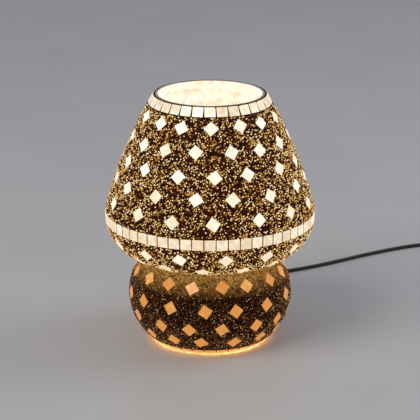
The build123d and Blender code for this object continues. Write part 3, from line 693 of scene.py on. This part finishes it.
dress(glass_body_material(), "glass_shade", "glass_base_upper", "glass_base_lower")
# Painted light: the shade's grout glows faintly above 110 mm, fading out down to 80 mm, as the
# bulb's light reaching it.
shade_grout = grout_material(
    "shade_grout", (0.012, 0.003, 0.002), (0.026, 0.007, 0.003), (0.030, 0.005, 0.001), 1.0, 80, 110
)
# Painted light: the base's grout glows gold on its shoulder, from 60 mm up to 76 mm, standing in
# for the light that the shade's underside casts there.
base_grout = grout_material(
    "base_grout", (0.012, 0.003, 0.001), (0.028, 0.009, 0.004), (0.50, 0.23, 0.045), 1.0, 60, 76
)
# Painted light: these joints glow bright orange only in the lowest 3.4 mm, at the foot, standing in
# for the bulb's light leaving the base at its bottom edge and lighting the table round it.
joint_grout = grout_material(
    "joint_grout", (0.008, 0.004, 0.003), (0.030, 0.014, 0.007), (1.0, 0.56, 0.18), 9.0, 3.4, 0
)
dress(shade_grout, "shade_coat_upper", "shade_coat_lower")
dress(base_grout, "base_coat")
dress(joint_grout, "rim_grout", "shade_band_grout", "foot_grout")

tile_side = glow_material("tile_side", (0.10, 0.05, 0.02), (0.30, 0.12, 0.03), 0.5, 0.4)
cream = tile_material("cream_tile", (0.95, 0.74, 0.48), (1.0, 0.91, 0.73), (1.0, 0.97, 0.90), 0.96)
band = tile_material("band_tile", (0.82, 0.62, 0.40), (0.97, 0.85, 0.64), (1.0, 0.94, 0.78), 0.94)
# Painted light: the base's tiles glow dimmer and more orange than the shade's, as the weaker light
# that reaches the base through the neck.
amber = tile_material(
    "amber_tile", (0.72, 0.29, 0.055), (0.90, 0.44, 0.12), (0.96, 0.60, 0.26), 0.88
)

on_point = {"wander": 0.08, "chips": 0.05}
upright = {"wander": 0.05, "chips": 0.04}
for row in range(1, 6):
    tile_pieces(f"shade_diamonds_row_{row}", [cream, tile_side], "cream_glass_tile", **on_point)
for row in (1, 2):
    tile_pieces(f"under_diamonds_row_{row}", [cream, tile_side], "cream_glass_tile", **on_point)
for row in range(1, 5):
    tile_pieces(f"base_diamonds_row_{row}", [amber, tile_side], "amber_glass_tile", **on_point)
tile_pieces("rim_tiles", [band, tile_side], "cream_glass_tile", **upright)
tile_pieces("shade_band_tiles", [band, tile_side], "cream_glass_tile", **upright)
tile_pieces("foot_tiles", [amber, tile_side], "amber_glass_tile", **upright)

SHADE_BEADS = [
    (0.026, 0.004, 0.001),
    (0.15, 0.050, 0.006),
    (0.46, 0.19, 0.028),
    (0.80, 0.46, 0.125),
    (1.0, 0.76, 0.38),
]
# Painted shade: the base's beads are dimmer copies of the shade's, and more of them are dark, as
# less of the bulb's light reaches the base through the neck.
BASE_BEADS = [
    (0.034, 0.006, 0.001),
    (0.080, 0.022, 0.002),
    (0.14, 0.052, 0.008),
    (0.22, 0.098, 0.024),
    (0.42, 0.25, 0.090),
]


def bead_materials(name, glows):
    """Five brightnesses of glass bead, darkest first."""
    return [
        glow_material(f"{name}_{level}", tuple(0.20 * part for part in glow), glow, 0.95)
        for level, glow in enumerate(glows)
    ]


shade_beads = bead_materials("shade_bead", SHADE_BEADS)
base_beads = bead_materials("base_bead", BASE_BEADS)
glass_tree = surface_tree("glass_shade", "glass_base_upper", "glass_base_lower")
shade_shares = [0.31, 0.11, 0.16, 0.21, 0.21]
base_shares = [0.28, 0.24, 0.22, 0.17, 0.09]
bead_sizes = (0.60 * MM, 0.92 * MM)
base_sizes = (0.45 * MM, 0.75 * MM)
bead_spacing = 1.55 * MM
bead_drift = 0.10
for coat, beads, shares, parts, sizes in (
    ("shade_coat_upper", shade_beads, shade_shares, 4, bead_sizes),
    ("shade_coat_lower", shade_beads, shade_shares, 2, bead_sizes),
    ("base_coat", base_beads, base_shares, 3, base_sizes),
):
    bead_pieces(coat, glass_tree, beads, shares, parts, bead_spacing, sizes, bead_drift)

steel = plain_part("zinc_steel", (0.50, 0.50, 0.50), (0.66, 0.67, 0.68), 0.34, metallic=1.0)
brass = plain_part("brass", (0.62, 0.42, 0.16), (0.80, 0.60, 0.28), 0.28, metallic=1.0)
nickel = plain_part("nickel", (0.62, 0.60, 0.56), (0.78, 0.76, 0.72), 0.22, metallic=1.0)
solder = plain_part("solder", (0.42, 0.42, 0.43), (0.60, 0.60, 0.61), 0.45, metallic=1.0)
rubber = plain_part("rubber", (0.012, 0.012, 0.012), (0.035, 0.035, 0.034), 0.75, grain=0.0001)
black_plastic = plain_part(
    "black_plastic", (0.015, 0.015, 0.015), (0.030, 0.030, 0.031), 0.38, grain=0.0001
)
holder_plastic = plain_part("holder_plastic", (0.78, 0.74, 0.66), (0.88, 0.85, 0.78), 0.35)
ceramic = plain_part("ceramic", (0.74, 0.70, 0.62), (0.86, 0.83, 0.76), 0.20)
black_glass = plain_part("black_glass", (0.010, 0.010, 0.012), (0.030, 0.030, 0.035), 0.12)
strap = woven_material("strap", (0.010, 0.010, 0.011), (0.060, 0.060, 0.064))
bulb_glass = clear_glass("bulb_glass", (1.0, 0.97, 0.90), 0.20, (1.0, 0.84, 0.58), 0.85)
stem_glass = clear_glass("stem_glass", (0.95, 0.95, 0.93), 0.05, (1.0, 0.70, 0.40), 0.3)
filament = glow_material("filament", (0.9, 0.6, 0.3), (1.0, 0.62, 0.26), 40.0)

dress(steel, "holder_bracket", "nipple_nut", "holder_washer")
dress(steel, "terminal_screws", "switch_screws", "rocker_pin")
dress(brass, "threaded_nipple", "screw_sleeve", "centre_contact", "switch_contacts")
dress(nickel, "bulb_cap", "plug_pins")
dress(solder, "bulb_tip")
dress(rubber, "bracket_feet", "cord_grommet", "strain_relief")
dress(black_plastic, "switch_bottom", "switch_top", "switch_rocker", "plug_body")
dress(holder_plastic, "holder_cap", "holder_shell")
dress(ceramic, "terminal_block")
dress(black_glass, "bulb_insulator")
dress(flex, "inner_cord", "core_wires")
dress(strap, "coil_tie")
dress(bulb_glass, "bulb_envelope")
dress(stem_glass, "bulb_stem")
dress(filament, "bulb_filament")
